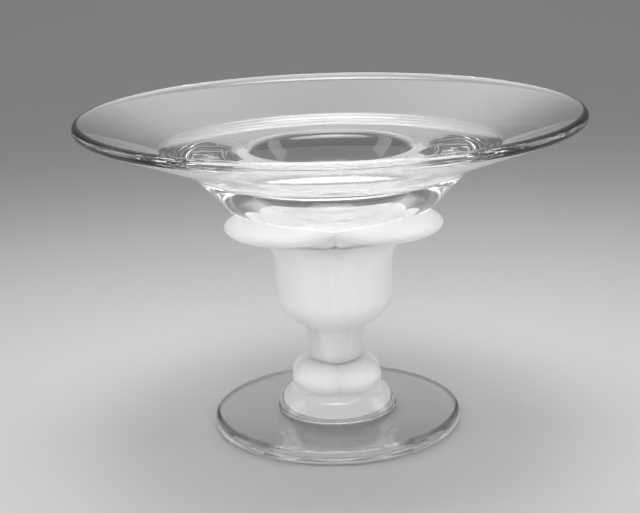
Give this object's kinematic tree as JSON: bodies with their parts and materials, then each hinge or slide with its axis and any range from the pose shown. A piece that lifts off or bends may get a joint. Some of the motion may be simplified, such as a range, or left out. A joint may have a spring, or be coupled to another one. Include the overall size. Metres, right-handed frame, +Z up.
{
  "type": "footed centerpiece bowl",
  "caption": "Wide clear glass bowl with a sloping brim and a deep round hollow, on a satin-etched stem with a lobed collar, a bell-shaped body, a lobed knop and a clear round foot.",
  "frame": {"origin": "centre of the foot's ground underside, on the table", "axes": "+Z up along the turning axis; -Y towards the viewer of the picture, where one of the creases between the lobes lies; +X to the viewer's right"},
  "size_m": [0.28, 0.28, 0.1792],
  "materials": {
    "clear_glass": "fire polished, clear",
    "satin_glass": "satin etched, milky white",
    "bond_resin": "clear cured adhesive film",
    "etched_face": "ground and etched, matt white"
  },
  "bodies": {
    "root": {"foot": "clear_glass", "foot_bond": "etched_face", "merese": "clear_glass", "merese_bond": "bond_resin", "knop": "satin_glass", "knop_bond": "bond_resin", "stem": "satin_glass", "stem_bond": "bond_resin", "collar": "satin_glass", "bowl_bond": "bond_resin", "bowl": "clear_glass"}
  },
  "joints": []
}
